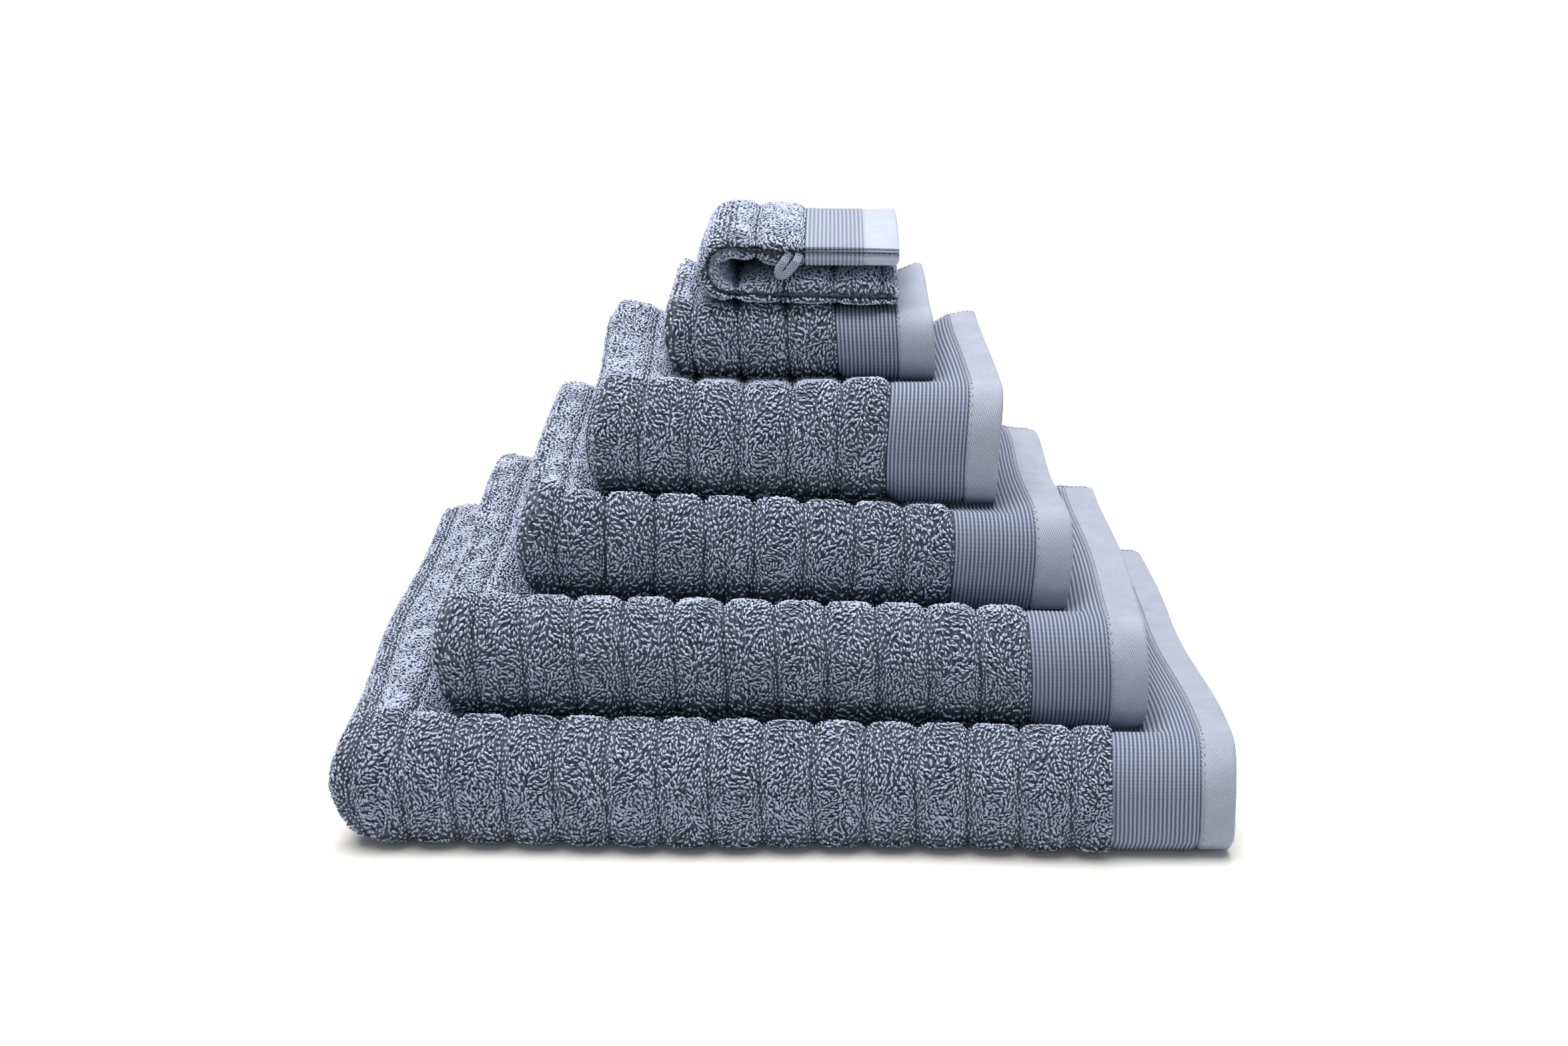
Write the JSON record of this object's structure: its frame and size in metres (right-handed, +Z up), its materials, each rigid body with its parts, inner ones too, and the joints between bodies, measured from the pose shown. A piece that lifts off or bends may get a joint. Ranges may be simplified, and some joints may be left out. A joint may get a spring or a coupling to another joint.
{
  "type": "bath towel set",
  "caption": "Ribbed terry bath towels and a wash mitt, folded and stacked in a pyramid, with corded borders and plain hems.",
  "frame": {"origin": "middle of the stack's underside, where it rests", "axes": "+X towards the hemmed ends, along the longest side; +Y from the rolled fronts to the back; +Z up"},
  "size_m": [0.51, 0.3334, 0.3235],
  "materials": {
    "terry": "looped cotton terry in ribs, matt",
    "border": "flat woven border of fine raised cords",
    "hem": "fine twill, turned and sewn",
    "thread": "cotton sewing thread",
    "tape": "narrow herringbone tape"
  },
  "bodies": {
    "bath_sheet": {"bath_sheet_terry": "terry", "bath_sheet_border": "border", "bath_sheet_end_hem": "hem", "bath_sheet_side_hem": "hem", "bath_sheet_hem_stitching": "thread"},
    "bath_towel": {"bath_towel_terry": "terry", "bath_towel_border": "border", "bath_towel_end_hem": "hem", "bath_towel_side_hem": "hem", "bath_towel_hem_stitching": "thread"},
    "hand_towel": {"hand_towel_terry": "terry", "hand_towel_border": "border", "hand_towel_end_hem": "hem", "hand_towel_side_hem": "hem", "hand_towel_hem_stitching": "thread"},
    "guest_towel": {"guest_towel_terry": "terry", "guest_towel_border": "border", "guest_towel_end_hem": "hem", "guest_towel_side_hem": "hem", "guest_towel_hem_stitching": "thread"},
    "face_cloth": {"face_cloth_terry": "terry", "face_cloth_border": "border", "face_cloth_end_hem": "hem", "face_cloth_side_hem": "hem", "face_cloth_hem_stitching": "thread"},
    "mitt_closed_half": {"mitt_lower_fold": "terry", "mitt_lower_back": "terry", "mitt_lower_palm": "terry"},
    "mitt_mouth_half": {"mitt_upper_fold": "terry", "mitt_under_terry": "terry", "mitt_under_border": "border", "mitt_under_hem": "hem", "mitt_top_terry": "terry", "mitt_top_border": "border", "mitt_top_hem": "hem", "mitt_front_seam": "thread", "mitt_back_seam": "thread"},
    "mitt_loop": {"mitt_hanging_loop": "tape"}
  },
  "joints": [
    {"name": "bath_towel_lift", "type": "slide", "parent": "bath_sheet", "child": "bath_towel", "axis": [0, 0, 1], "range_m": [0, 0.12]},
    {"name": "hand_towel_lift", "type": "slide", "parent": "bath_towel", "child": "hand_towel", "axis": [0, 0, 1], "range_m": [0, 0.12]},
    {"name": "guest_towel_lift", "type": "slide", "parent": "hand_towel", "child": "guest_towel", "axis": [0, 0, 1], "range_m": [0, 0.12]},
    {"name": "face_cloth_lift", "type": "slide", "parent": "guest_towel", "child": "face_cloth", "axis": [0, 0, 1], "range_m": [0, 0.12]},
    {"name": "wash_mitt_lift", "type": "slide", "parent": "face_cloth", "child": "mitt_closed_half", "axis": [0, 0, 1], "range_m": [0, 0.12]},
    {"name": "mitt_fold", "type": "hinge", "parent": "mitt_closed_half", "child": "mitt_mouth_half", "pos_m": [-0.054, 0.0358, 0.30135], "axis": [0, -1, 0], "range_deg": [0, 180]},
    {"name": "loop_swing", "type": "hinge", "parent": "mitt_mouth_half", "child": "mitt_loop", "pos_m": [-0.0015, -0.01967, 0.3095], "axis": [-1, 0, 0], "range_deg": [0, 150]}
  ]
}
